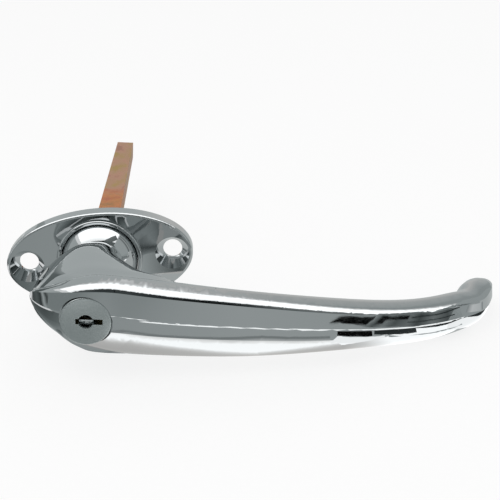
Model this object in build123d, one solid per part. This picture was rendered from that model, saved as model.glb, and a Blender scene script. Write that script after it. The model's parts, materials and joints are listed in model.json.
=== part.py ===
from build123d import *
import os
from math import asin, cos, degrees, hypot, pi, radians, sin, tan

# Locking lever handle for a vehicle door: an oval plate, a cast lever that turns in it,
# a key lock in the lever's hub and a tapered square spindle that works the latch.
# Origin on the spindle's axis at the plate's back face. +X along the grip, +Y into the
# door, +Z up. "Ahead" is the distance in front of that back face, so it is minus Y.
# The lever and all it carries are drawn level, then turned to their rest about the axis.

# Oval plate
PLATE_LENGTH = 64.0
PLATE_HEIGHT = 34.0
PLATE_THICK = 5.2
PLATE_EDGE_ROUND = 0.9
PLATE_RELIEF = 1.0
PLATE_RIM = 2.6
HOLE_SPACING = 50.0
HOLE_DIA = 6.6
COUNTERSINK_DIA = 11.7
COUNTERSINK_ANGLE = 60.0
HOLE_BOSS_WALL = 2.8
RING_WIDTH = 1.4
RING_RISE = 1.2
RING_ROUND = 0.5
HUB_FLOOR = 2.2

# Lever hub: domed flange, journal and stop
FLANGE_DIA = 26.0
FLANGE_GAP = 0.2
FLANGE_EDGE = 3.3
DOME_TOP = 11.2
DOME_BULGE = 0.6
SHANK_DIA = 16.8
JOURNAL_DIA = 14.0
JOURNAL_REACH = 13.0
RUNNING_GAP = 0.05
LEVER_TRAVEL = 45.0
LEVER_REST_TURN = 8.0
STOP_INSET = 2.8
STOP_DIA = 3.0
STOP_DEPTH = 1.2
STOP_GAP = 0.25

# Grip: stations along the ridge from the nose to the tip, as x, ahead, half height, depth
GRIP_STATIONS = (
    (-19.0, 35.6, 1.6, 2.4),
    (-18.5, 38.2, 3.9, 6.0),
    (-16.2, 42.4, 6.2, 9.4),
    (-12.6, 46.8, 8.6, 11.8),
    (-6.0, 51.0, 11.2, 13.6),
    (3.0, 53.0, 12.8, 14.4),
    (18.0, 55.0, 12.7, 14.4),
    (36.0, 56.4, 11.8, 13.8),
    (68.0, 56.2, 9.4, 13.6),
    (90.0, 53.6, 7.6, 13.2),
    (108.0, 48.4, 6.9, 12.2),
    (121.0, 41.0, 6.5, 11.6),
    (128.4, 33.0, 6.3, 11.6),
    (131.4, 26.0, 6.0, 11.2),
    (132.0, 21.6, 5.4, 10.4),
    (131.6, 18.8, 4.5, 8.8),
    (130.9, 17.0, 3.1, 6.6),
    (130.3, 16.2, 1.5, 4.2),
)
# The section's own lines, as shares of the half height or depth, and its two front slopes
RIDGE_LEVEL = 0.2
RIDGE_ROUND = 0.035
UPPER_EDGE = 0.79
LOWER_EDGE = -0.24
CROWN_DEPTH = 0.55
UPPER_SLOPE = 9.0
LOWER_SLOPE = 13.0
SHOULDER_FULLNESS = 0.55
SHOULDER_STEPS = 3

# Neck: sections parallel to the plate, as ahead, left edge, right edge, the share by which
# the section has grown from the shank's height to the grip's, and how square it is
NECK_SECTIONS = (
    (7.0, -8.4, 8.4, 0.0, 2.0),
    (10.0, -8.6, 8.5, 0.05, 2.2),
    (13.0, -11.0, 8.9, 0.4, 2.3),
    (16.0, -13.6, 9.4, 0.75, 2.2),
    (20.0, -16.6, 10.4, 0.95, 2.2),
    (25.0, -18.5, 12.4, 1.0, 2.4),
    (30.0, -18.8, 14.8, 1.0, 2.8),
    (35.0, -18.6, 18.0, 1.0, 3.2),
    (39.0, -17.6, 21.8, 0.995, 3.6),
    (42.0, -15.0, 27.0, 0.985, 4.0),
    (45.0, -11.5, 32.0, 0.975, 4.0),
    (48.0, -8.0, 34.0, 0.94, 4.0),
)
NECK_POINTS = 24

# Spindle
SPINDLE_ROOT = 8.4
SPINDLE_END = 7.0
SPINDLE_REACH = 121.0
SPINDLE_SEAT = 1.0
SPINDLE_CHAMFER = 0.8
SPINDLE_PIN_DIA = 3.0
SPINDLE_PIN_BEHIND = 8.6
SPINDLE_PIN_INSET = 0.3

# Retainers behind the plate
WASHER_DIA = 22.0
WASHER_THICK = 1.2
WASHER_GAP = 0.1
CURVED_WASHER_DIA = 20.0
CURVED_WASHER_THICK = 0.35
CURVED_WASHER_BOW = 0.7
RING_CLIP_THICK = 1.0
RING_CLIP_WALL = 2.0
RING_CLIP_EAR_DIA = 4.2
RING_CLIP_EAR_HOLE = 1.6
RING_CLIP_OPENING = 26.0
GROOVE_DEPTH = 0.5
STACK_GAP = 0.05

# Lock plug and keyhole
LOCK_FACE = 51.6
PLUG_HEAD_DIA = 15.8
PLUG_HEAD_THICK = 4.0
PLUG_HEAD_ROUND = 0.35
PLUG_HEAD_GAP = 0.35
PLUG_DIA = 11.6
PLUG_BACK = 27.0
PLUG_TURN = 90.0
KEY_STEM_DIA = 4.6
KEY_SLOT_HEIGHT = 1.8
KEY_SLOT_REACH = 5.1
KEY_STUB_REACH = 3.1
KEY_DEPTH_LEFT = 4.6
PLUG_PIN_DIA = 2.4
PLUG_PIN_AHEAD = 29.8
PLUG_PIN_BITE = 0.7
PLUG_PIN_TOP = 2.5
PLUG_PIN_FOOT = -9.2
SHUTTER_WIDTH = 4.4
SHUTTER_THICK = 0.3
SHUTTER_DEPTH = 3.2
SHUTTER_RISE = 3.0
SHUTTER_INSET = 1.4

# Wafers and their springs, numbered from the keyhole inward
WAFER_COUNT = 5
WAFER_FIRST = 45.0
WAFER_PITCH = 2.5
WAFER_THICK = 1.0
WAFER_HALF_HEIGHT = 3.3
WAFER_HALF_LENGTH = 4.6
WAFER_THROW = 0.8
WAFER_GAP = 0.05
WAFER_CODE = (0.2, 0.7, 0.4, 0.9, 0.5)
WAFER_WINDOW_DIA = 5.0
WAFER_TAB_START = 0.6
WAFER_TAB_WIDTH = 0.9
WAFER_TAB_TOP = 4.6
GROOVE_CLEAR = 0.3
SPRING_WIRE = 0.26
SPRING_DIA = 1.1
SPRING_TURNS = 5
SPRING_SEAT = -2.8
SPRING_POCKET_GAP = 0.1

# Tail and locking bolt
TAIL_DIA = 6.0
TAIL_GAP = 0.08
TANG_WIDTH = 4.0
TANG_THICK = 1.6
TANG_LENGTH = 2.0
TANG_GAP = 0.05
CRANK_PIN_DIA = 1.8
CRANK_SLOT_GAP = 0.15
BOLT_THICK = 2.1
BOLT_WIDTH = 4.9
BOLT_GAP = 0.1
BOLT_STROKE = 2.2
BOLT_TIP_INSET = 0.3
BOLT_TAIL = 3.6
BOLT_TIP_CHAMFER = 0.4
NOTCH_GAP = 0.3

# Sizes that follow from the ones above
FLANGE_BACK = HUB_FLOOR + RUNNING_GAP
HEAD_SEAT = LOCK_FACE - PLUG_HEAD_THICK
CHANNEL_FRONT = FLANGE_BACK + BOLT_THICK + 2 * BOLT_GAP
CRANK_RADIUS = BOLT_STROKE / (2 * sin(radians(PLUG_TURN / 2)))
BOLT_TIP = FLANGE_DIA / 2 - BOLT_TIP_INSET
RECESS_RADIUS = FLANGE_DIA / 2 + FLANGE_GAP
STOP_RADIUS = FLANGE_DIA / 2 - STOP_INSET
CURVED_WASHER_STACK = CURVED_WASHER_BOW + CURVED_WASHER_THICK + 2 * STACK_GAP
CLIP_FRONT = -(WASHER_GAP + WASHER_THICK + CURVED_WASHER_STACK)
CLIP_BACK = CLIP_FRONT - RING_CLIP_THICK
GROOVE_RADIUS = JOURNAL_DIA / 2 - GROOVE_DEPTH
PLUG_PIN_X = PLUG_DIA / 2 - PLUG_PIN_BITE + PLUG_PIN_DIA / 2
SPRING_LEVEL = (WAFER_HALF_HEIGHT + WAFER_TAB_TOP) / 2
OVERLAP = 0.5


def on_axis(ahead):
    return Plane.XZ.offset(ahead)


def rod(radius, back, front, x=0.0, z=0.0):
    """Round bar along the spindle's axis between two distances ahead of the back face."""
    return extrude(on_axis(back) * Pos(x, z) * Circle(radius), front - back)


def block(width, height, back, front, x=0.0, z=0.0):
    """Square-cornered bar along the spindle's axis, centred at x and z."""
    return extrude(on_axis(back) * Pos(x, z) * Rectangle(width, height), front - back)


def tube(inner, outer, back, front):
    return rod(outer, back, front) - rod(inner, back, front)


def shoulder(start, corner, end):
    """Rounded quarter from start to end that fills the corner as an ellipse would."""
    pulls = []
    for point in (start, end):
        pulls.append(tuple(p + SHOULDER_FULLNESS * (c - p) for p, c in zip(point, corner)))
    return Bezier(start, *pulls, end)


def sector(inner, outer, start, end, back, front):
    """Ring segment about the axis. Angles run from the left (-X), as the lever turns down."""
    reach = 2 * outer
    left = (-reach * cos(radians(start)), reach * sin(radians(start)))
    middle_angle = radians((start + end) / 2)
    middle = (-reach * cos(middle_angle), reach * sin(middle_angle))
    right = (-reach * cos(radians(end)), reach * sin(radians(end)))
    wedge = on_axis(back) * make_face(Polyline((0, 0), left, middle, right, close=True))
    return tube(inner, outer, back, front) & extrude(wedge, front - back)


# Oval plate

def plate_blank():
    blank = extrude(on_axis(0) * Ellipse(PLATE_LENGTH / 2, PLATE_HEIGHT / 2), PLATE_THICK)
    front_edge = blank.edges().sort_by(Axis.Y)[0]
    return fillet(front_edge, PLATE_EDGE_ROUND)


def raised_ring():
    ring = tube(RECESS_RADIUS, RECESS_RADIUS + RING_WIDTH, HUB_FLOOR, PLATE_THICK + RING_RISE)
    crest = ring.edges().group_by(Axis.Y)[0]
    return fillet(crest, RING_ROUND)


def screw_hole(x):
    slope = tan(radians(COUNTERSINK_ANGLE / 2))
    depth = (COUNTERSINK_DIA - HOLE_DIA) / 2 / slope
    cone = Cone(HOLE_DIA / 2, COUNTERSINK_DIA / 2, depth)
    cone = on_axis(PLATE_THICK - depth / 2) * Pos(x, 0) * cone
    return rod(HOLE_DIA / 2, -OVERLAP, PLATE_THICK, x) + cone


def bolt_notches():
    """Pockets for the bolt: one at the level lever with its play, one at full travel."""
    half_width = BOLT_WIDTH / 2 + NOTCH_GAP
    half_angle = degrees(asin(half_width / RECESS_RADIUS))
    tip = BOLT_TIP + BOLT_STROKE + NOTCH_GAP
    back = HUB_FLOOR
    front = CHANNEL_FRONT + BOLT_GAP
    inner = RECESS_RADIUS - OVERLAP
    locked = sector(inner, tip, -half_angle, LEVER_REST_TURN + half_angle, back, front)
    turned = sector(inner, tip, LEVER_TRAVEL - half_angle, LEVER_TRAVEL + half_angle, back, front)
    return locked + turned


def stop_groove():
    """Curved groove in the hub's floor that ends the lever's travel, from below to the left."""
    half = STOP_DIA / 2 + STOP_GAP
    back = FLANGE_BACK - STOP_DEPTH - STOP_GAP
    front = HUB_FLOOR + OVERLAP
    cut = sector(STOP_RADIUS - half, STOP_RADIUS + half, -90, LEVER_TRAVEL - 90, back, front)
    for turn in (0, LEVER_TRAVEL):
        x = -STOP_RADIUS * sin(radians(turn))
        z = -STOP_RADIUS * cos(radians(turn))
        cut += rod(half, back, front, x, z)
    return cut


def base_plate():
    plate = plate_blank() + raised_ring()
    inside = Ellipse(PLATE_LENGTH / 2 - PLATE_RIM, PLATE_HEIGHT / 2 - PLATE_RIM)
    relief = extrude(on_axis(-OVERLAP) * inside, OVERLAP + PLATE_RELIEF)
    relief -= rod(RECESS_RADIUS + RING_WIDTH, -OVERLAP, PLATE_RELIEF)
    for x in (-HOLE_SPACING / 2, HOLE_SPACING / 2):
        relief -= rod(HOLE_DIA / 2 + HOLE_BOSS_WALL, -OVERLAP, PLATE_RELIEF, x)
        plate -= screw_hole(x)
    plate -= relief
    plate -= rod(RECESS_RADIUS, HUB_FLOOR, PLATE_THICK + RING_RISE)
    plate -= rod(JOURNAL_DIA / 2 + RUNNING_GAP, -OVERLAP, PLATE_THICK)
    return plate - bolt_notches() - stop_groove()


# Lever casting

def rounded_points(*corners):
    """Points round a chain of rounded quarters, given as start, corner, end, corner, end..."""
    points = []
    for index in range(0, len(corners) - 1, 2):
        curve = shoulder(*corners[index:index + 3])
        points += [curve @ (step / SHOULDER_STEPS) for step in range(SHOULDER_STEPS)]
    return points + [curve @ 1]


def even_spline(points, closed=False):
    """Smooth curve with its points evenly spread along it, so that such curves loft cleanly."""
    spans = len(points) if closed else len(points) - 1
    return Edge.make_spline(points, periodic=closed, parameters=[i / spans for i in range(spans + 1)])


def grip_section(origin, tangent, half_height, depth):
    """Closed outline across the grip: two flats, the rounded ridge between, and a round body."""
    plane = Plane(origin=origin, x_dir=(-tangent.Y, tangent.X, 0), z_dir=tangent)
    upper_lean = tan(radians(UPPER_SLOPE))
    lower_lean = tan(radians(LOWER_SLOPE))
    ridge = RIDGE_LEVEL * half_height
    upper_edge = UPPER_EDGE * half_height
    lower_edge = LOWER_EDGE * half_height
    upper = ((upper_edge - ridge) * upper_lean, upper_edge)
    lower = ((ridge - lower_edge) * lower_lean, lower_edge)
    body = rounded_points(
        upper,
        ((half_height - ridge) * upper_lean, half_height),
        (CROWN_DEPTH * depth, half_height),
        (depth, half_height),
        (depth, 0),
        (depth, -half_height),
        (CROWN_DEPTH * depth, -half_height),
        ((half_height + ridge) * lower_lean, -half_height),
        lower,
    )
    ridge_half = RIDGE_ROUND * half_height
    above = (ridge_half * upper_lean, ridge + ridge_half)
    below = (ridge_half * lower_lean, ridge - ridge_half)
    crest = Bezier(below, (0, ridge), above)
    return plane * make_face([Line(above, upper), even_spline(body), Line(lower, below), crest])


def grip():
    path = Spline([(x, -ahead, 0) for x, ahead, _, _ in GRIP_STATIONS])
    sections = []
    for x, ahead, half_height, depth in GRIP_STATIONS:
        place = Vector(x, -ahead, 0)
        tangent = path.tangent_at(path.param_at_point(place))
        sections.append(grip_section(place, tangent, half_height, depth))
    return loft(sections)


def grip_half_height(x):
    """Half height of the grip at x, between two of its stations."""
    for near, far in zip(GRIP_STATIONS, GRIP_STATIONS[1:]):
        if near[0] <= x <= far[0]:
            share = (x - near[0]) / (far[0] - near[0])
            return near[2] + share * (far[2] - near[2])
    return 0.0


def neck_section(ahead, left, right, share, squareness):
    """Closed outline across the neck: round at the shank, flat-topped where it joins the grip."""
    middle = (left + right) / 2
    half_width = (right - left) / 2
    points = []
    for index in range(NECK_POINTS):
        angle = 2 * pi * index / NECK_POINTS
        across = abs(cos(angle)) ** (2 / squareness) * (1 if cos(angle) > 0 else -1)
        up = abs(sin(angle)) ** (2 / squareness) * (1 if sin(angle) > 0 else -1)
        x = middle + half_width * across
        half_height = (1 - share) * SHANK_DIA / 2 + share * grip_half_height(x)
        points.append(Vector(x, half_height * up))
    return on_axis(ahead) * Face(Wire([even_spline(points, closed=True)]))


def neck():
    return loft([neck_section(*row) for row in NECK_SECTIONS])


def domed_flange():
    rim = FLANGE_DIA / 2
    edge = FLANGE_BACK + FLANGE_EDGE
    shank = SHANK_DIA / 2
    rise = DOME_TOP - edge
    run = rim - shank
    swell = DOME_BULGE / hypot(rise, run)
    crest = ((rim + shank) / 2 + swell * rise, -(edge + DOME_TOP) / 2 - swell * run)
    outline = [
        Line((0, -FLANGE_BACK), (rim, -FLANGE_BACK)),
        Line((rim, -FLANGE_BACK), (rim, -edge)),
        ThreePointArc((rim, -edge), crest, (shank, -DOME_TOP)),
        Line((shank, -DOME_TOP), (0, -DOME_TOP)),
        Line((0, -DOME_TOP), (0, -FLANGE_BACK)),
    ]
    return revolve(make_face(outline), Axis.Y)


def wafer_grooves():
    """Grooves in the lock bore that take the wafers where the key goes in and out."""
    front = WAFER_FIRST + WAFER_THICK
    back = WAFER_FIRST - WAFER_PITCH * (WAFER_COUNT - 1) - WAFER_THICK
    reach = WAFER_HALF_LENGTH + WAFER_THROW + GROOVE_CLEAR
    height = 2 * (WAFER_HALF_HEIGHT + GROOVE_CLEAR)
    grooves = Part()
    for turn in (0, PLUG_TURN):
        grooves += Rot(0, turn, 0) * block(reach, height, back, front, reach / 2)
    return grooves


def lock_bore():
    bore = rod(PLUG_DIA / 2 + RUNNING_GAP, PLUG_BACK - RUNNING_GAP, HEAD_SEAT)
    head_radius = PLUG_HEAD_DIA / 2 + PLUG_HEAD_GAP
    bore += rod(head_radius, HEAD_SEAT - RUNNING_GAP, LOCK_FACE + PLUG_HEAD_DIA)
    bore += rod(TAIL_DIA / 2 + TAIL_GAP, FLANGE_BACK, PLUG_BACK)
    return bore + wafer_grooves()


def bolt_channel():
    length = FLANGE_DIA / 2 + OVERLAP + BOLT_TAIL + BOLT_GAP
    x = BOLT_TAIL + BOLT_GAP - length / 2
    return block(length, BOLT_WIDTH + 2 * BOLT_GAP, FLANGE_BACK, CHANNEL_FRONT, x)


def lever():
    body = grip() + neck() + domed_flange()
    body += rod(JOURNAL_DIA / 2, -JOURNAL_REACH, FLANGE_BACK)
    body += rod(STOP_DIA / 2, FLANGE_BACK - STOP_DEPTH, FLANGE_BACK + OVERLAP, 0, -STOP_RADIUS)
    body -= lock_bore() + bolt_channel()
    body -= block(SPINDLE_ROOT, SPINDLE_ROOT, -JOURNAL_REACH, SPINDLE_SEAT)
    body -= tube(GROOVE_RADIUS, JOURNAL_DIA, CLIP_BACK, CLIP_FRONT)
    return body - plug_pin() - spindle_pin_bar(JOURNAL_DIA)


# Spindle and what holds the journal

def spindle_pin_bar(length):
    pin = Cylinder(SPINDLE_PIN_DIA / 2, length)
    return Pos(0, SPINDLE_PIN_BEHIND, 0) * pin


def spindle_pin():
    return spindle_pin_bar(JOURNAL_DIA - 2 * SPINDLE_PIN_INSET)


def spindle():
    root = block(SPINDLE_ROOT, SPINDLE_ROOT, -JOURNAL_REACH, SPINDLE_SEAT)
    shaft = loft([
        on_axis(-SPINDLE_REACH) * Rectangle(SPINDLE_END, SPINDLE_END),
        on_axis(-JOURNAL_REACH) * Rectangle(SPINDLE_ROOT, SPINDLE_ROOT),
    ])
    shaft = chamfer(shaft.edges().group_by(Axis.Y)[-1], SPINDLE_CHAMFER)
    return root + shaft - spindle_pin_bar(JOURNAL_DIA)


def thrust_washer():
    front = -WASHER_GAP
    return tube(JOURNAL_DIA / 2 + RUNNING_GAP, WASHER_DIA / 2, front - WASHER_THICK, front)


def curved_washer():
    """Spring washer bowed about the upright axis, with its ends on the thrust washer."""
    radius = CURVED_WASHER_DIA / 2
    crest = -(CLIP_FRONT + STACK_GAP)
    sheet_radius = (radius ** 2 + CURVED_WASHER_BOW ** 2) / (2 * CURVED_WASHER_BOW)
    centre = crest - sheet_radius
    outer = Pos(0, centre, 0) * Cylinder(sheet_radius, CURVED_WASHER_DIA)
    inner = Pos(0, centre, 0) * Cylinder(sheet_radius - CURVED_WASHER_THICK, CURVED_WASHER_DIA)
    ring = tube(JOURNAL_DIA / 2 + RUNNING_GAP, radius, CLIP_FRONT, -WASHER_GAP - WASHER_THICK)
    return ring & (outer - inner)


def retaining_ring():
    """Open ring in the journal's groove, with two drilled ears at its gap."""
    outer = JOURNAL_DIA / 2 - GROOVE_DEPTH + RING_CLIP_WALL
    ring = tube(GROOVE_RADIUS, outer, CLIP_BACK, CLIP_FRONT)
    ear_radius = outer + RING_CLIP_EAR_DIA / 2 - RING_CLIP_WALL / 2
    holes = Part()
    for side in (-1, 1):
        angle = radians(90 + side * RING_CLIP_OPENING)
        x = ear_radius * cos(angle)
        z = ear_radius * sin(angle)
        ring += rod(RING_CLIP_EAR_DIA / 2, CLIP_BACK, CLIP_FRONT, x, z)
        holes += rod(RING_CLIP_EAR_HOLE / 2, CLIP_BACK, CLIP_FRONT, x, z)
    gap = 2 * GROOVE_RADIUS * sin(radians(RING_CLIP_OPENING / 2))
    ring -= block(gap, JOURNAL_DIA, CLIP_BACK, CLIP_FRONT, 0, JOURNAL_DIA / 2)
    return ring - holes - rod(GROOVE_RADIUS, CLIP_BACK, CLIP_FRONT)


# Lock

def keyway(back, front):
    slot = block(KEY_SLOT_REACH, KEY_SLOT_HEIGHT, back, front, KEY_SLOT_REACH / 2)
    stub = block(KEY_STUB_REACH, KEY_SLOT_HEIGHT, back, front, -KEY_STUB_REACH / 2)
    return rod(KEY_STEM_DIA / 2, back, front) + slot + stub


def wafer_place(index):
    return WAFER_FIRST - WAFER_PITCH * index


def wafer_slot(index):
    """Cross slot for one wafer, open to its tab's side, with the spring's pocket beside it."""
    middle = wafer_place(index)
    back = middle - WAFER_THICK / 2 - WAFER_GAP
    front = middle + WAFER_THICK / 2 + WAFER_GAP
    slot = block(PLUG_DIA + OVERLAP, 2 * (WAFER_HALF_HEIGHT + WAFER_GAP), back, front)
    tab_start = WAFER_TAB_START - WAFER_GAP
    tab_height = WAFER_TAB_TOP + WAFER_GAP
    slot += block(PLUG_DIA, tab_height, back, front, tab_start + PLUG_DIA / 2, tab_height / 2)
    pocket_length = WAFER_TAB_START - SPRING_SEAT
    pocket = Cylinder(SPRING_DIA / 2 + SPRING_POCKET_GAP, pocket_length)
    pocket_x = SPRING_SEAT + pocket_length / 2
    return slot + Pos(pocket_x, -middle, SPRING_LEVEL) * Rot(0, 90, 0) * pocket


def shutter_pocket():
    front = LOCK_FACE - SHUTTER_INSET + SHUTTER_THICK
    back = front - SHUTTER_DEPTH - SHUTTER_THICK
    return block(SHUTTER_WIDTH + 2 * WAFER_GAP, 2 * SHUTTER_RISE, back, front)


def lock_plug():
    head = rod(PLUG_HEAD_DIA / 2, HEAD_SEAT, LOCK_FACE)
    head = fillet(head.edges().sort_by(Axis.Y)[0], PLUG_HEAD_ROUND)
    plug = head + rod(PLUG_DIA / 2, PLUG_BACK, HEAD_SEAT)
    plug -= keyway(PLUG_BACK + KEY_DEPTH_LEFT, LOCK_FACE)
    plug -= shutter_pocket()
    for index in range(WAFER_COUNT):
        plug -= wafer_slot(index)
    groove_radius = PLUG_DIA / 2 - PLUG_PIN_BITE - RUNNING_GAP
    groove_half = PLUG_PIN_DIA / 2 + RUNNING_GAP
    plug -= tube(groove_radius, PLUG_DIA, PLUG_PIN_AHEAD - groove_half, PLUG_PIN_AHEAD + groove_half)
    slot_width = TANG_WIDTH + 2 * TANG_GAP
    slot_height = TANG_THICK + 2 * TANG_GAP
    return plug - block(slot_width, slot_height, PLUG_BACK, PLUG_BACK + TANG_LENGTH)


def plug_pin():
    """Upright pin in the lever whose side runs in the plug's groove."""
    length = PLUG_PIN_TOP - PLUG_PIN_FOOT
    middle = (PLUG_PIN_TOP + PLUG_PIN_FOOT) / 2
    return Pos(PLUG_PIN_X, -PLUG_PIN_AHEAD, middle) * Cylinder(PLUG_PIN_DIA / 2, length)


def dust_shutter():
    """Thin spring leaf curved up behind the lower half of the keyhole."""
    front = LOCK_FACE - SHUTTER_INSET
    foot = (front - SHUTTER_DEPTH, -SHUTTER_RISE)
    corner = (front, -SHUTTER_RISE)
    lip = (front, 0)
    inner_lip = (front - SHUTTER_THICK, 0)
    inner_corner = (front - SHUTTER_THICK, SHUTTER_THICK - SHUTTER_RISE)
    inner_foot = (foot[0], SHUTTER_THICK - SHUTTER_RISE)
    outline = [
        shoulder(foot, corner, lip),
        Line(lip, inner_lip),
        shoulder(inner_lip, inner_corner, inner_foot),
        Line(inner_foot, foot),
    ]
    side = Plane(origin=(SHUTTER_WIDTH / 2, 0, 0), x_dir=(0, -1, 0), z_dir=(-1, 0, 0))
    return extrude(side * make_face(outline), SHUTTER_WIDTH)


def wafer(index):
    """Flat wafer with its key window, cut to its own code, and the tab its spring pushes."""
    middle = wafer_place(index)
    back = middle - WAFER_THICK / 2
    front = middle + WAFER_THICK / 2
    plate = block(2 * WAFER_HALF_LENGTH, 2 * WAFER_HALF_HEIGHT, back, front)
    tab_x = WAFER_TAB_START + WAFER_TAB_WIDTH / 2
    plate += block(WAFER_TAB_WIDTH, WAFER_TAB_TOP, back, front, tab_x, WAFER_TAB_TOP / 2)
    slot_reach = WAFER_WINDOW_DIA / 2 + WAFER_CODE[index]
    window = rod(WAFER_WINDOW_DIA / 2, back, front)
    window += block(slot_reach, KEY_SLOT_HEIGHT, back, front, slot_reach / 2)
    return plate - window


def wafer_spring(index):
    length = WAFER_TAB_START - SPRING_SEAT - SPRING_WIRE
    coil = Helix(length / SPRING_TURNS, length, (SPRING_DIA - SPRING_WIRE) / 2)
    wire = sweep(Plane(coil @ 0, z_dir=coil % 0) * Circle(SPRING_WIRE / 2), path=coil)
    start = SPRING_SEAT + SPRING_WIRE / 2
    return Pos(start, -wafer_place(index), SPRING_LEVEL) * Rot(0, 90, 0) * wire


def lock_tail():
    """Bar behind the plug: a tang in the plug's slot and an eccentric pin in the bolt's slot."""
    shoulder_front = PLUG_BACK - RUNNING_GAP
    bar = rod(TAIL_DIA / 2, CHANNEL_FRONT, shoulder_front)
    bar += block(TANG_WIDTH, TANG_THICK, shoulder_front, PLUG_BACK + TANG_LENGTH - TANG_GAP)
    angle = radians(PLUG_TURN / 2)
    crank_x = CRANK_RADIUS * sin(angle)
    crank_z = -CRANK_RADIUS * cos(angle)
    return bar + rod(CRANK_PIN_DIA / 2, FLANGE_BACK + BOLT_GAP, CHANNEL_FRONT, crank_x, crank_z)


def locking_bolt():
    """Flat bolt in the flange: its cross slot follows the tail's eccentric pin."""
    back = FLANGE_BACK + BOLT_GAP
    front = back + BOLT_THICK
    length = BOLT_TIP + BOLT_TAIL
    bolt = block(length, BOLT_WIDTH, back, front, (BOLT_TAIL - BOLT_TIP) / 2)
    tip_edges = bolt.faces().sort_by(Axis.X)[0].edges().filter_by(Axis.Y)
    bolt = chamfer(tip_edges, BOLT_TIP_CHAMFER)
    bolt = bolt & rod(BOLT_TIP, back, front)
    crank_x = CRANK_RADIUS * sin(radians(PLUG_TURN / 2))
    slot_width = CRANK_PIN_DIA + 2 * CRANK_SLOT_GAP
    slot_bottom = -(CRANK_RADIUS + slot_width / 2)
    slot_top = -CRANK_RADIUS * cos(radians(PLUG_TURN / 2)) + slot_width / 2
    slot_height = slot_top - slot_bottom
    return bolt - block(slot_width, slot_height, back, front, crank_x, (slot_top + slot_bottom) / 2)


def lever_set():
    """Everything that turns with the lever, drawn level."""
    pieces = {
        "lever": lever(),
        "spindle": spindle(),
        "spindle_pin": spindle_pin(),
        "thrust_washer": thrust_washer(),
        "curved_washer": curved_washer(),
        "retaining_ring": retaining_ring(),
        "lock_plug": lock_plug(),
        "plug_pin": plug_pin(),
        "dust_shutter": dust_shutter(),
        "lock_tail": lock_tail(),
        "locking_bolt": locking_bolt(),
    }
    for index in range(WAFER_COUNT):
        pieces[f"wafer_{index + 1}"] = wafer(index)
        pieces[f"wafer_spring_{index + 1}"] = wafer_spring(index)
    return pieces


os.makedirs("parts", exist_ok=True)
export_step(base_plate(), "parts/base_plate.step")
for name, piece in lever_set().items():
    export_step(Rot(0, LEVER_REST_TURN, 0) * piece, f"parts/{name}.step")
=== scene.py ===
# %% [markdown]
# # A chromed locking lever handle
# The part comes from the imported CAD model, in metres, in the same frame as the drawing: the
# spindle's axis is Y, the door is behind, and the grip reaches to the right along X. Every form
# is in the CAD nodes already, so no piece is modelled here. This lesson gives the nodes their
# finishes, the studio that a chromed casting needs, and the camera.

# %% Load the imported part
import json
import math
import bpy
from mathutils import Matrix, Vector


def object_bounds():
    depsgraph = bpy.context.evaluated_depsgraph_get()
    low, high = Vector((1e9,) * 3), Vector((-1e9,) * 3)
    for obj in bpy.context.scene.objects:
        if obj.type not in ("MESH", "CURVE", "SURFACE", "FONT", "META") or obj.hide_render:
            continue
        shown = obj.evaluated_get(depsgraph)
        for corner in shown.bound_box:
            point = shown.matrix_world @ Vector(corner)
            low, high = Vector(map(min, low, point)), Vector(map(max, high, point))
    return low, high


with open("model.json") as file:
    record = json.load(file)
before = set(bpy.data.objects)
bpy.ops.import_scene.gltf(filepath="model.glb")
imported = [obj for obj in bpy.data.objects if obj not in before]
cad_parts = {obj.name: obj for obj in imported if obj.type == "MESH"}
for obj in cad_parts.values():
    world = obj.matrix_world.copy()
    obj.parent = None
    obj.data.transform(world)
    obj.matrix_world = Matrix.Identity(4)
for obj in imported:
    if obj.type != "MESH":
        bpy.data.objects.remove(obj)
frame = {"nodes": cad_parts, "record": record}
nodes = frame["nodes"]
cad_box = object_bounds()
MM = 0.001


def in_mm(lengths):
    """Lengths in metres as millimetres, rounded for printing."""
    return [round(v / MM, 1) for v in lengths]


print("nodes", len(nodes), "box", in_mm((*cad_box[0], *cad_box[1])))

# %% [markdown]
# ## Three small helpers
# Colours are written as sRGB hex values, as a paint chart gives them. Blender's sockets want
# linear light, so one function turns one into the other. A second function adds a shader node
# with its settings and links, which keeps each material's recipe short enough to read. A third
# makes the empty material that a recipe starts from.

# %% Colour and node helpers
def linear(code):
    """Linear red, green, blue and alpha of an sRGB hex colour."""
    parts = [int(code[i:i + 2], 16) / 255 for i in (1, 3, 5)]
    return [c / 12.92 if c <= 0.04045 else ((c + 0.055) / 1.055) ** 2.4 for c in parts] + [1.0]


def add(tree, kind, settings=None, stops=None, **sockets):
    """Adds a node with its settings, colour stops and sockets; in0 and in1 go by number."""
    node = tree.nodes.new(kind)
    for key, value in (settings or {}).items():
        setattr(node, key, value)
    for number, (position, code) in enumerate(stops or []):
        marks = node.color_ramp.elements
        mark = marks[number] if number < len(marks) else marks.new(position)
        mark.position, mark.color = position, linear(code)
    for key, value in sockets.items():
        by_number = key.startswith("in")
        socket = node.inputs[int(key[2:]) if by_number else key.replace("_", " ")]
        if isinstance(value, bpy.types.NodeSocket):
            tree.links.new(value, socket)
        else:
            socket.default_value = value
    return node


def new_material(name):
    """An empty node material and its tree."""
    material = bpy.data.materials.new(name)
    material.use_nodes = True
    material.node_tree.nodes.clear()
    return material, material.node_tree


print("white is", linear("#FFFFFF")[0], "mid grey is", round(linear("#808080")[0], 3))

# %% [markdown]
# ## Chrome on a buffed casting
# Chromium plate returns a little over half of the light and is nearly colourless, a touch blue.
# A plain mirror would be the shortest recipe, but the plate is only as smooth as the casting
# under it. Buffing leaves slow waves that bend the reflections, faint hairlines along the stroke
# of the wheel, and here and there a pit where the zinc was porous, so each gets its own noise at
# its own size. Buffing also rounds the ridge between the two facets, which is why it catches a
# thin bright line; that rounding is in the casting's own shape, so the shader needs no bevel.

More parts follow.
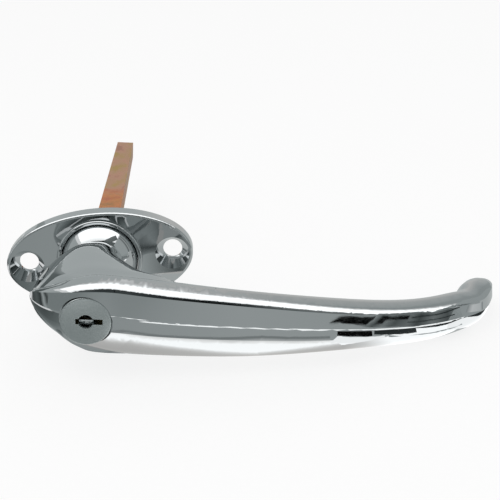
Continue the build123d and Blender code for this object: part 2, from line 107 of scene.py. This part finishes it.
# %% Chrome plate
BUFFING_WAVE, WAVE_HEIGHT = 14 * MM, 0.05 * MM
HAIRLINE = 0.5 * MM  # real ones are a tenth as wide, too fine to show in the render
HAZE_PATCH = 6 * MM
PIT_SPACING, PIT_DEPTH = 7 * MM, 0.05 * MM


def chrome_plate(name, stroke):
    """Mirror chrome; stroke is how much the buffing draws its hairlines out along each axis."""
    material, tree = new_material(name)
    place = add(tree, "ShaderNodeTexCoord").outputs["Object"]
    waves = add(tree, "ShaderNodeTexNoise", Vector=place, Scale=1 / BUFFING_WAVE, Detail=1.0)
    along = add(tree, "ShaderNodeMapping", Vector=place, Scale=stroke)
    hairs = add(tree, "ShaderNodeTexNoise", Vector=along.outputs["Vector"], Scale=1 / HAIRLINE,
                Detail=3.0)
    haze = add(tree, "ShaderNodeTexNoise", Vector=place, Scale=1 / HAZE_PATCH, Detail=4.0)
    wear = add(tree, "ShaderNodeMath", {"operation": "MULTIPLY"}, in0=haze.outputs["Fac"],
               in1=hairs.outputs["Fac"])
    rough = add(tree, "ShaderNodeMapRange", Value=wear.outputs[0], From_Min=0.15, From_Max=0.45,
                To_Min=0.025, To_Max=0.08)
    pit = add(tree, "ShaderNodeTexVoronoi", Vector=place, Scale=1 / PIT_SPACING)
    height = add(tree, "ShaderNodeMapRange", Value=pit.outputs["Distance"], From_Min=0.015,
                 From_Max=0.05)
    wavy = add(tree, "ShaderNodeBump", Height=waves.outputs["Fac"], Strength=1.0,
               Distance=WAVE_HEIGHT)
    pitted = add(tree, "ShaderNodeBump", Height=height.outputs["Result"], Strength=0.4,
                 Distance=PIT_DEPTH, Normal=wavy.outputs["Normal"])
    tint = add(tree, "ShaderNodeValToRGB", stops=[(0.0, "#7E8182"), (1.0, "#C5C8C9")],
               Fac=height.outputs["Result"])
    shader = add(tree, "ShaderNodeBsdfPrincipled", Metallic=1.0, Base_Color=tint.outputs["Color"],
                 Roughness=rough.outputs["Result"], Normal=pitted.outputs["Normal"])
    add(tree, "ShaderNodeOutputMaterial", Surface=shader.outputs["BSDF"])
    return material


lever_chrome = chrome_plate("chrome_on_buffed_zinc_lever", (0.05, 1.0, 1.0))
plate_chrome = chrome_plate("chrome_on_buffed_zinc_plate", (0.1, 1.0, 1.0))
print("made", lever_chrome.name, plate_chrome.name)

# %% [markdown]
# ## The bare steel spindle
# The square bar is plain drawn steel that has gone brown: orange where it was handled near the
# plate, ochre in patches and pinkish brown towards its end. Its root near the plate is painted
# dark grey as painted shade. A painted picture could hold that, but noise fits the bar without
# one. The skin is oxide over metal, so the shader is only half metallic, and the colours lie in
# blotches drawn out along the bar.

# %% Stained steel
BLOTCH, STAIN_EDGE = 5 * MM, 6 * MM
STAIN_WANDER = 22 * MM  # how far noise moves the stain's borders along the bar
# painted shade: short of this border the bar's root near the plate is painted dark grey
PAINTED_SHADE_BORDER = (41 * MM, 46 * MM)  # along Y, with the wander added
ORANGE_BORDER = (60 * MM, 68 * MM)
DRAWN_GRAIN, GRAIN_DEPTH = 0.6 * MM, 0.03 * MM  # coarser than real, so that it shows


def stained_steel(name):
    """Brown oxide on a drawn bar along Y, with painted shade darkening its root."""
    material, tree = new_material(name)
    place = add(tree, "ShaderNodeTexCoord").outputs["Object"]
    drawn = add(tree, "ShaderNodeMapping", Vector=place, Scale=(1.0, 0.45, 1.0))
    blotch = add(tree, "ShaderNodeTexNoise", Vector=drawn.outputs["Vector"], Scale=1 / BLOTCH,
                 Detail=3.0)
    skin = add(tree, "ShaderNodeValToRGB", Fac=blotch.outputs["Fac"],
               stops=[(0.34, "#A88A4E"), (0.46, "#B08A6A"), (0.6, "#B5876F"), (0.7, "#A2745E")])
    length = add(tree, "ShaderNodeSeparateXYZ", Vector=place).outputs["Y"]
    edge = add(tree, "ShaderNodeTexNoise", Vector=place, Scale=1 / STAIN_EDGE, Detail=4.0)
    reach = add(tree, "ShaderNodeMath", {"operation": "MULTIPLY_ADD"}, in0=edge.outputs["Fac"],
                in1=STAIN_WANDER, in2=length)
    handled = add(tree, "ShaderNodeMapRange", Value=reach.outputs[0], From_Min=ORANGE_BORDER[0],
                  From_Max=ORANGE_BORDER[1], To_Min=0.85, To_Max=0.0)
    orange = add(tree, "ShaderNodeValToRGB", Fac=edge.outputs["Fac"],
                 stops=[(0.35, "#B3663F"), (0.5, "#C27C45"), (0.65, "#A0703C")])
    worn = add(tree, "ShaderNodeMix", {"data_type": "RGBA"}, Factor=handled.outputs["Result"],
               in6=skin.outputs["Color"], in7=orange.outputs["Color"])
    # painted shade: the root near the plate is mixed towards dark grey, standing in for shade
    painted_shade_near_plate = add(tree, "ShaderNodeMapRange", Value=reach.outputs[0], From_Min=PAINTED_SHADE_BORDER[0],
                 From_Max=PAINTED_SHADE_BORDER[1], To_Min=0.8, To_Max=0.0)
    tint = add(tree, "ShaderNodeMix", {"data_type": "RGBA"}, Factor=painted_shade_near_plate.outputs["Result"],
               in6=worn.outputs[2], in7=linear("#6B665F"))
    grain = add(tree, "ShaderNodeTexNoise", Vector=drawn.outputs["Vector"], Scale=1 / DRAWN_GRAIN,
                Detail=3.0)
    rough = add(tree, "ShaderNodeMapRange", Value=grain.outputs["Fac"], To_Min=0.35, To_Max=0.6)
    bump = add(tree, "ShaderNodeBump", Height=grain.outputs["Fac"], Strength=0.4,
               Distance=GRAIN_DEPTH)
    shader = add(tree, "ShaderNodeBsdfPrincipled", Metallic=0.5, Base_Color=tint.outputs[2],
                 Roughness=rough.outputs["Result"], Normal=bump.outputs["Normal"])
    add(tree, "ShaderNodeOutputMaterial", Surface=shader.outputs["BSDF"])
    return material


spindle_steel = stained_steel("drawn_steel_stained_brown")
print("made", spindle_steel.name)

# %% [markdown]
# ## The lock's own metals
# The plug is nickel-plated brass with a satin turned face, duller than the chrome around it.
# Its leaf and springs are spring steel, its wafers bare brass, and the pins, washers and ring
# behind the plate are bright zinc-plated steel. Only colour, polish and grain tell them apart,
# so one recipe serves all four. Their edges are broken in the making, and a bevel node gives
# that glint without touching a mesh.

# %% Satin and bright metals
BROKEN_EDGE = 0.12 * MM
TOOL_MARK_DEPTH = 0.01 * MM


def turned_metal(name, light, dark, smooth, dull, grain_mm):
    """Metal between two tones and two roughnesses; the grain is coarser than real, to show."""
    material, tree = new_material(name)
    place = add(tree, "ShaderNodeTexCoord").outputs["Object"]
    grain = add(tree, "ShaderNodeTexNoise", Vector=place, Scale=1 / (grain_mm * MM), Detail=4.0)
    tint = add(tree, "ShaderNodeValToRGB", stops=[(0.3, dark), (0.7, light)],
               Fac=grain.outputs["Fac"])
    rough = add(tree, "ShaderNodeMapRange", Value=grain.outputs["Fac"], To_Min=smooth, To_Max=dull)
    soft_edge = add(tree, "ShaderNodeBevel", {"samples": 4}, Radius=BROKEN_EDGE)
    bump = add(tree, "ShaderNodeBump", Height=grain.outputs["Fac"], Strength=0.15,
               Distance=TOOL_MARK_DEPTH, Normal=soft_edge.outputs["Normal"])
    shader = add(tree, "ShaderNodeBsdfPrincipled", Metallic=1.0, Base_Color=tint.outputs["Color"],
                 Roughness=rough.outputs["Result"], Normal=bump.outputs["Normal"])
    add(tree, "ShaderNodeOutputMaterial", Surface=shader.outputs["BSDF"])
    return material


lock_nickel = turned_metal("satin_nickel_on_brass", "#B3B9B9", "#A9AFAF", 0.2, 0.26, 0.5)
bright_steel = turned_metal("zinc_plated_steel", "#C4C6C4", "#A9ACAB", 0.2, 0.35, 1.5)
spring_steel = turned_metal("spring_steel", "#F2F4F4", "#B8BBBC", 0.12, 0.25, 0.6)
wafer_brass = turned_metal("tarnished_brass", "#8F7840", "#6E5B33", 0.3, 0.45, 0.8)
print("made", lock_nickel.name, bright_steel.name, spring_steel.name, wafer_brass.name)

# %% [markdown]
# ## Dressing the CAD nodes
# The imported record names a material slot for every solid. Each node could be dressed by hand,
# but one table from slot to finish does all of them and can't forget one. Only the slots
# change: the nodes' meshes and places stay as the drawing has them.

# %% Give every CAD node its finish
finish_of = {
    "lever_chrome": lever_chrome,
    "plate_chrome": plate_chrome,
    "spindle_steel": spindle_steel,
    "bright_steel": bright_steel,
    "spring_steel": spring_steel,
    "lock_nickel": lock_nickel,
    "wafer_brass": wafer_brass,
}
for row in frame["record"]["subparts"]:
    for slot in nodes[row["node"]].material_slots:
        slot.material = finish_of[row["material_slot"]]

# %% [markdown]
# ## Floor and room
# The floor is pale paper that carries the soft shadow, and the room is white. More lamps would
# also make the background white, but they would burn out the handle. Here rays from the camera,
# from mirrors and through glass see floor and room at full white, and the light that scatters
# stays at its plain level.

# %% Floor and white room
FLOOR_SIZE = 6.0
FLOOR_LEVEL = cad_box[0].z - 0.2 * MM  # just below the handle, so that nothing sinks in
PAPER_FIBRE = 2 * MM
PAPER_GLOW = 0.8  # the rest of what is seen is plain paper, which shows the shadow
ROOM_LIGHT = 0.8


def seen_whole(tree):
    """One where a camera, mirror or glass ray looks, and nought for light that scatters."""
    ray = add(tree, "ShaderNodeLightPath").outputs
    seen = ray["Is Camera Ray"]
    for kind in ("Is Glossy Ray", "Is Transmission Ray"):
        either = add(tree, "ShaderNodeMath", {"operation": "MAXIMUM"}, in0=seen, in1=ray[kind])
        seen = either.outputs[0]
    return seen


bpy.ops.object.select_all(action="DESELECT")
bpy.ops.mesh.primitive_plane_add(size=FLOOR_SIZE, location=(0, 0, FLOOR_LEVEL))
floor = bpy.context.object
floor.name = "studio_floor"
floor_paper, tree = new_material("pale_studio_paper")
fibre = add(tree, "ShaderNodeTexNoise", Vector=add(tree, "ShaderNodeTexCoord").outputs["Object"],
            Scale=1 / PAPER_FIBRE, Detail=2.0)
tone = add(tree, "ShaderNodeValToRGB", stops=[(0.3, "#F4F4F4"), (0.7, "#F7F7F7")],
           Fac=fibre.outputs["Fac"])
share = add(tree, "ShaderNodeMath", {"operation": "MULTIPLY"}, in0=seen_whole(tree),
            in1=PAPER_GLOW)
paper = add(tree, "ShaderNodeBsdfDiffuse", Color=tone.outputs["Color"])
glow = add(tree, "ShaderNodeEmission", Color=linear("#FFFFFF"), Strength=1.0)
mixed = add(tree, "ShaderNodeMixShader", in0=share.outputs[0], in1=paper.outputs[0],
            in2=glow.outputs[0])
add(tree, "ShaderNodeOutputMaterial", Surface=mixed.outputs[0])
floor.data.materials.append(floor_paper)

room = bpy.data.worlds.new("white_room")
bpy.context.scene.world = room
room.use_nodes = True
tree = room.node_tree
tree.nodes.clear()
level = add(tree, "ShaderNodeMapRange", Value=seen_whole(tree), To_Min=ROOM_LIGHT, To_Max=1.0)
sky = add(tree, "ShaderNodeBackground", Color=linear("#FFFFFF"), Strength=level.outputs["Result"])
add(tree, "ShaderNodeOutputWorld", Surface=sky.outputs[0])
print("floor at", in_mm([FLOOR_LEVEL]), "mm, room white")

# %% [markdown]
# ## A reflection card
# Chrome has no colour of its own: it shows the room. A photographer stands grey, black and
# white cards around such a part, each where one face of it looks. A picture wrapped round the
# scene would be quicker, but it can't be placed face by face. Each card is a plane whose tones
# run one way. Mirrors alone see it, so it neither lights the handle nor shows in the picture.

# %% Card helper, tones and heights
def card(name, centre, facing, across, size, stops, strength=1.0):
    """Flat card for mirrors alone: its tones run along across, and size starts that way too."""
    bpy.ops.object.select_all(action="DESELECT")
    bpy.ops.mesh.primitive_plane_add(size=1.0)
    piece = bpy.context.object
    piece.name = name
    outward, along = Vector(facing).normalized(), Vector(across).normalized()
    turn = Matrix((along, outward.cross(along), outward)).transposed().to_4x4()
    piece.matrix_world = Matrix.Translation(centre) @ turn @ Matrix.Diagonal((*size, 1, 1))
    bpy.ops.object.transform_apply(location=True, rotation=True, scale=True)
    material, tree = new_material(name + "_tone")
    place = add(tree, "ShaderNodeSeparateXYZ",
                Vector=add(tree, "ShaderNodeTexCoord").outputs["UV"])
    tone = add(tree, "ShaderNodeValToRGB", stops=stops, Fac=place.outputs["X"])
    glow = add(tree, "ShaderNodeEmission", Color=tone.outputs["Color"], Strength=strength)
    add(tree, "ShaderNodeOutputMaterial", Surface=glow.outputs[0])
    piece.data.materials.append(material)
    piece.visible_camera = False
    piece.visible_diffuse = False
    piece.visible_shadow = False


UP, DOWN = (0, 0, 1), (0, 0, -1)
FORTH, BACK = (0, -1, 0), (0, 1, 0)
RIGHT, LEFT = (1, 0, 0), (-1, 0, 0)
GREY = [(0.0, "#AFB5B5"), (1.0, "#A9B0B0")]
BLACK = [(0.0, "#0C0C0C"), (1.0, "#0C0C0C")]
SMOKE = [(0.0, "#2A3030"), (1.0, "#3A4040")]
WHITE = [(0.0, "#FFFFFF"), (1.0, "#FFFFFF")]
CEILING_LIGHT = 2.0  # chrome returns about half, so a white reflection needs twice the light
SHEET_LIGHT, RIDGE_LIGHT, TIP_LIGHT = 1.65, 1.6, 1.45
# cards that lie on the floor are stacked, a little apart, so that each hides the one below
ON_FLOOR, ON_SHEET, ON_TABLE, ON_STRIP = (FLOOR_LEVEL + h * MM for h in (0.3, 0.45, 0.6, 0.75))
print("floor cards lie at", [round(h / MM, 2) for h in (ON_FLOOR, ON_SHEET, ON_TABLE, ON_STRIP)])

# %% [markdown]
# ## Cards in front and above
# The two facets look forward and down, so a grey table and a wall that darkens upwards lie
# there. The shoulder above them looks up at a bright ceiling and shows it as a white band. Two
# dark cards fill the corner between wall and ceiling, and that draws the dark line under the
# band. Ceiling to the right is darker, because the bending grip dims towards its tip.

# %% Table, wall and ceiling
card("grey_table", (0.05, -0.604, ON_FLOOR), UP, RIGHT, (2.4, 1.093),
     [(0.354, "#8E9595"), (0.45, "#A0A6A6"), (0.5, "#B4B9B9"), (0.56, "#ABB1B1"),
      (1.0, "#A9B0B0")])
card("grey_wall", (0.0, -1.15, 0.2), BACK, UP, (0.8, 2.4),
     [(0.25, "#A9B0B0"), (0.5, "#8A9191"), (1.0, "#4A5050")])
card("black_edge", (0.0, -0.95, 0.72), (0, 0.8, -0.6), RIGHT, (2.4, 0.26),
     [(0.3, "#5A6060"), (0.45, "#3A4040"), (0.56, "#0C0C0C"), (0.6, "#1A1E1E"), (0.66, "#5A6060")])
card("black_edge_top", (0.0, -0.761, 0.862), (0, 0.324, -0.946), RIGHT, (2.4, 0.24),
     [(0.3, "#5A6060"), (0.45, "#3A4040"), (0.56, "#2A2E2E"), (0.62, "#3A4040"),
      (0.68, "#6A7070")])
card("bright_ceiling", (0.05, -0.025, 0.9), DOWN, BACK, (1.25, 2.0),
     [(0.0, "#D0D0D0"), (0.16, "#F0F0F0"), (0.28, "#FFFFFF"), (0.72, "#FFFFFF"), (0.77, "#EBEBEB"),
      (0.86, "#B5B5B5"), (0.95, "#979797"), (1.0, "#8E9292")], CEILING_LIGHT)
card("dark_ceiling", (0.666, -0.505, 0.895), DOWN, (0.78, -0.625, 0), (0.4, 1.02),
     [(0.0, "#A0A0A0"), (0.2, "#7F8484"), (1.0, "#6A7070")])
print("table, wall, dark corner and ceiling up")

# %% [markdown]
# ## Sheets under the grip
# The lower side of the grip looks steeply down and shows a white sheet lying close below it.
# Towards the tip the sheet gives way to grey, with smoky bands where the grip starts to curl.

# %% White sheet and tip table
card("white_sheet", (0.029, -0.0497, ON_FLOOR), UP, RIGHT, (0.178, 0.0176), WHITE, SHEET_LIGHT)
card("tip_table", (0.284, -0.047, ON_SHEET), UP, RIGHT, (0.332, 0.023), GREY)
card("smoky_table", (0.131, -0.084, ON_SHEET), UP, (0.42, 0.91, 0), (0.07, 0.017),
     [(0.0, "#A0A6A6"), (0.1, "#4A5050"), (0.2, "#8A9090"), (0.3, "#5A6060"), (0.45, "#7A8080"),
      (0.55, "#4F5555"), (0.7, "#828888"), (0.85, "#5A6060"), (1.0, "#9AA0A0")])
print("sheets laid")

# %% [markdown]
# ## Cards behind and at the sides
# The flat top of the grip looks back, so a mid grey stands there, with one lighter stretch. The
# oval plate, its raised ring and the nose curve away to both sides and show the walls and the
# floor on the left, with dark and light bars that make their curves readable.

# %% Back, sides and left floor
card("grey_floor", (0.2, 0.2791, ON_FLOOR), UP, RIGHT, (0.9, 0.64),
     [(0.0, "#C9CCCB"), (1.0, "#C2C7C7")])
card("grey_back_high", (-0.42, 0.6, 0.44), FORTH, RIGHT, (0.96, 0.93),
     [(0.0, "#B9BFBF"), (1.0, "#C3C8C8")])
card("grey_back", (0.55, 0.6, 0.44), FORTH, RIGHT, (0.98, 0.93),
     [(0.0, "#C3C8C8"), (0.15, "#D5D4D2"), (0.28, "#C4C6C5"), (0.4, "#B4B9B9"), (0.46, "#A6ACAC")])
card("dark_back", (-0.4225, 0.58, 0.1675), FORTH, RIGHT, (0.355, 0.185),
     [(0.0, "#5F6666"), (0.8, "#6A7171"), (1.0, "#A0A6A6")])
card("left_wall", (-0.6, 0.1, 0.21), RIGHT, BACK, (1.0, 0.46),
     [(0.0, "#B4BABA"), (1.0, "#C3C8C8")])
card("right_wall", (0.7, 0.0, 0.27), LEFT, BACK, (1.2, 0.58),
     [(0.44, "#B4BABA"), (0.5, "#5F6666"), (0.54, "#C3C8C8"), (0.58, "#5F6666"),
      (0.62, "#B0B6B6")])
card("left_floor", (-0.26, 0.02, ON_TABLE), UP, RIGHT, (0.48, 0.157),
     [(0.0, "#7B8282"), (0.3, "#9AA0A0"), (0.45, "#3F4545"), (0.55, "#B4BABA"), (0.62, "#3A4040"),
      (0.72, "#5F6666"), (0.8, "#4A5050"), (0.84, "#FFFFFF"), (0.9, "#FFFFFF"), (0.92, "#3F4545"),
      (0.97, "#7B8282"), (1.0, "#A8AEAE")])
card("under_grip_shade", (0.035, -0.041, -0.0165), BACK, RIGHT, (0.054, 0.015),
     [(0.0, "#B4BABA"), (0.3, "#5A6060"), (0.45, "#B0B6B6"), (0.7, "#8A9090"), (1.0, "#A9B0B0")])
print("back and sides up")

# %% [markdown]
# ## A bright line along the ridge
# The rounded ridge looks at a narrow strip of table between what the two facets see, so a white
# strip there draws the bright line. The grip bends, so the strip is laid in four pieces that
# follow the way the ridge looks. Strips are small cards, given in millimetres on the table.

# %% Ridge strips
def strip(name, middle, size, angle, stops, strength=1.0, level=None):
    """Narrow card on the table, in mm, turned by an angle in degrees; dark ones lie on top."""
    lie = math.radians(angle)
    level = level or (ON_TABLE if strength > 1 else ON_STRIP)
    card(name, (middle[0] * MM, middle[1] * MM, level), UP, (math.cos(lie), math.sin(lie), 0),
         [v * MM for v in size], stops, strength)


strip("ridge_strip_start", (-17, -122.5), (22, 9), 0, WHITE, RIDGE_LIGHT)
strip("ridge_strip_long", (47, -85.5), (90, 13), 0, WHITE, RIDGE_LIGHT)
strip("ridge_strip_bend", (95, -74.5), (26, 7), 26.5, WHITE, RIDGE_LIGHT)
strip("ridge_strip_tip", (117.3, -57.1), (34, 5), 40, WHITE, RIDGE_LIGHT)
print("ridge strips laid")

# %% [markdown]
# ## Dark bars near the tip
# Near the tip both facets mirror dark frames that stand to the right of the camera. Those are
# black and smoky strips, laid along the way that the bending grip looks. The curled tip itself
# turns through light and dark within a few millimetres, and four more strips give it that.

# %% Dark frames and tip
strip("dark_frame_wide", (108.7, -126), (28.6, 13), 57, BLACK)
strip("dark_frame_thin", (120.5, -107), (5, 11), 57, BLACK)
strip("dark_frame_end", (127.5, -98.5), (18, 5), 62, BLACK)
strip("dark_streak_high", (140, -71), (38, 1.6), 65, SMOKE)
strip("dark_streak_low", (133.5, -71), (34, 1.2), 65, SMOKE)
strip("dark_low_frame", (84, -62.3), (12.5, 2.2), 17, BLACK)
strip("dark_low_middle", (98.5, -58.2), (16, 3.4), 24, SMOKE)
strip("dark_low_end", (112.6, -51.4), (30, 1.7), 34.4, SMOKE)
strip("grey_low_line", (108, -49.5), (30, 0.7), 31, GREY)
strip("tip_dark_far", (160, -45), (16, 34), 0, SMOKE)
strip("tip_light", (143.5, -39.5), (14, 7), 100,
      [(0.0, "#9AA0A0"), (0.3, "#E0E2E2"), (0.8, "#D0D4D4"), (1.0, "#8A9090")])
strip("tip_dark_line", (128.2, -37.2), (26, 2.5), 63, SMOKE)
strip("tip_sheet", (124, -35), (28, 7), 63, WHITE, TIP_LIGHT)
print("dark frames and tip strips laid")

# %% [markdown]
# ## Edge and shade of the white sheet
# The pale band along the bottom of the grip isn't one flat white. It starts under the lower
# facet with a dark edge that fades into the white, and it turns warm grey where it rounds under.
# So the white sheet gets an edge strip in front and a shade behind, each in pieces that follow
# the bend, and the shade runs out into white towards the tip.

# %% Sheet edge and low shade
EDGE = [(0.0, "#777B7B"), (0.07, "#6F7373"), (0.12, "#8E9191"), (0.22, "#B4B5B5"),
        (0.33, "#CCCCCB"), (0.43, "#E8E7E6"), (0.56, "#FFFFFF")]
SHADE = [(0.0, "#FFFFFF"), (0.11, "#D5D4D3"), (0.22, "#BDBBB9"), (0.34, "#B2B0AE"),
         (0.6, "#AAA8A6")]
RUN_OUT = [(0.0, "#B0AEAC"), (0.45, "#CBCAC9"), (1.0, "#FFFFFF")]
strip("sheet_edge_long", (16, -62.3), (10.6, 72), 90.5, EDGE, SHEET_LIGHT, ON_SHEET)
strip("sheet_edge_end", (62.6, -60.3), (10.6, 24), 98.7, EDGE, SHEET_LIGHT, ON_TABLE)
strip("sheet_under_frame", (85, -57.7), (17.2, 6), 17, WHITE, TIP_LIGHT, ON_SHEET)
strip("sheet_corner", (77.2, -59.7), (6.8, 5), -31.4, WHITE, TIP_LIGHT, ON_SHEET)
strip("low_shade_left", (-7.5, -51), (18, 24), 90, SHADE, SHEET_LIGHT, ON_STRIP)
strip("low_shade_middle", (28, -47.6), (18, 50), 100, SHADE, SHEET_LIGHT)
strip("low_shade_right", (65, -47.2), (17, 27), 80, SHADE, SHEET_LIGHT, ON_STRIP)
strip("low_shade_end", (86.6, -48.4), (16, 14.6), -10, RUN_OUT, SHEET_LIGHT)
print("edge and shade laid")

# %% [markdown]
# ## One soft lamp
# The room already lights the handle from all round. A large soft lamp over the left shoulder
# adds just enough direction for the shadow under the grip and for the matt metals. Mirrors
# don't see it, because its image would lie over the dark line under the shoulder's white band.

# %% Lamp
LAMP_PLACE, LAMP_AIM = (-0.15, -0.35, 0.7), Vector((0.05, -0.02, 0))
LAMP_WIDTH, LAMP_DEPTH, LAMP_WATTS = 0.7, 0.5, 1.5
bpy.ops.object.light_add(type="AREA", location=LAMP_PLACE)
lamp = bpy.context.object
lamp.name = "soft_lamp"
lamp.data.shape = "RECTANGLE"
lamp.data.size = LAMP_WIDTH
lamp.data.size_y = LAMP_DEPTH
lamp.data.energy = LAMP_WATTS
lamp.visible_glossy = False
lamp.rotation_euler = (LAMP_AIM - lamp.location).to_track_quat("-Z", "Y").to_euler()
print("lamp", lamp.data.energy, "W")

# %% [markdown]
# ## Camera
# The camera stands a little left of straight ahead and 23 degrees up, and is rolled a few
# degrees. It could be placed by eye, but its angles were fitted to the plate, the lock's rim and
# the spindle, which holds at any size of picture. The fit was made with the lever held level, so
# the camera is turned by the lever's drop about the spindle.

# %% Camera
LEVER_DROP = math.radians(8.0)
AIM = Vector((50.34, -20.0, 11.92)) * MM
AZIMUTH, ELEVATION, ROLL = (math.radians(a) for a in (-3.95, 23.02, 3.55))
DISTANCE = 328.38 * MM
LENS_MM, SENSOR_MM = 72.0, 36.0
NEAR_LIMIT = 10 * MM
bpy.ops.object.camera_add()
camera = bpy.context.object
camera.name = "photo_camera"
camera.data.lens = LENS_MM
camera.data.sensor_width = SENSOR_MM
camera.data.clip_start = NEAR_LIMIT
ahead = math.cos(ELEVATION)
back = Vector((math.sin(AZIMUTH) * ahead, -math.cos(AZIMUTH) * ahead, math.sin(ELEVATION)))
level_turn = back.to_track_quat("Z", "Y").to_matrix().to_4x4()
stand = Matrix.Translation(AIM + back * DISTANCE) @ level_turn @ Matrix.Rotation(ROLL, 4, "Z")
camera.matrix_world = Matrix.Rotation(LEVER_DROP, 4, "Y") @ stand
bpy.context.scene.camera = camera
bpy.context.scene.view_settings.view_transform = "Standard"
print("camera at", in_mm(camera.matrix_world.translation))
